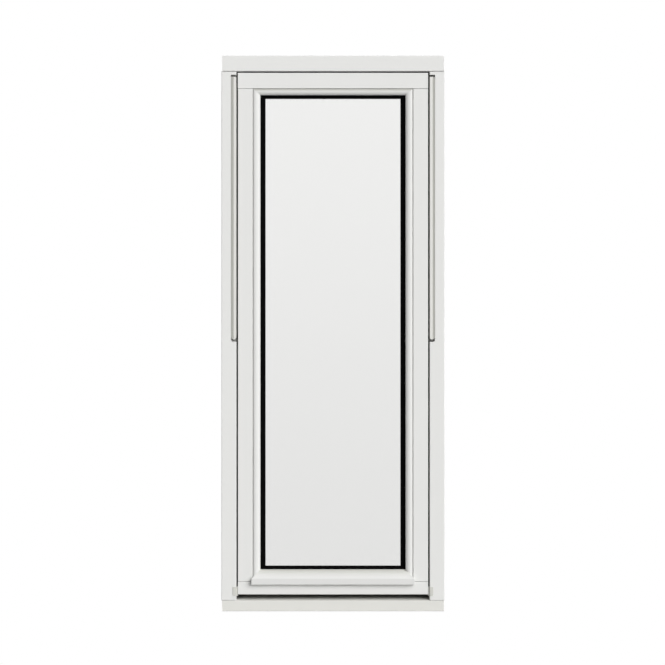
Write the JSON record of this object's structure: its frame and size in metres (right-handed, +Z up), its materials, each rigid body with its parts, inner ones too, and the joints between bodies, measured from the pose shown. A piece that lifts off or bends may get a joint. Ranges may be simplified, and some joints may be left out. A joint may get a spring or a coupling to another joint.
{
  "type": "centre pivot window",
  "caption": "Tall narrow painted timber window, shut: a weathered frame, and a double-glazed sash held on pivots at mid-height, with moulded glazing beads and a drip bead.",
  "frame": {"origin": "middle of the sill's underside", "axes": "+X along the sill to the right as seen from outdoors, +Y into the room, +Z up"},
  "size_m": [0.6, 0.127, 1.495],
  "materials": {
    "frame_paint": "smooth white paint on timber",
    "sash_paint": "smooth white paint on timber",
    "strip_metal": "white powder coat",
    "block_plastic": "matt moulded",
    "glass": "clear float glass",
    "gasket": "matt black",
    "pivot_steel": "zinc plated",
    "handle_metal": "white powder coat"
  },
  "bodies": {
    "root": {"head": "frame_paint", "sill": "frame_paint", "left_jamb": "frame_paint", "right_jamb": "frame_paint", "left_inner_stop": "frame_paint", "right_inner_stop": "frame_paint", "top_rail": "sash_paint", "bottom_rail": "sash_paint", "left_stile": "sash_paint", "right_stile": "sash_paint", "top_bead": "sash_paint", "left_bead": "sash_paint", "right_bead": "sash_paint", "drip_bead": "sash_paint", "top_cover": "sash_paint", "left_side_cover": "sash_paint", "right_side_cover": "sash_paint", "left_stop_strip": "strip_metal", "right_stop_strip": "strip_metal", "left_guide_block": "block_plastic", "right_guide_block": "block_plastic", "setting_blocks": "block_plastic", "outer_pane": "glass", "inner_pane": "glass", "outer_gasket": "gasket", "inner_gasket": "gasket", "edge_seal": "gasket", "spacer_bar": "gasket", "head_seal": "gasket", "sill_seal": "gasket", "left_seal": "gasket", "right_seal": "gasket", "left_pivot_plate": "pivot_steel", "right_pivot_plate": "pivot_steel", "left_pivot_cup": "pivot_steel", "right_pivot_cup": "pivot_steel", "handle_rose": "handle_metal", "handle_lever": "handle_metal"}
  },
  "joints": []
}
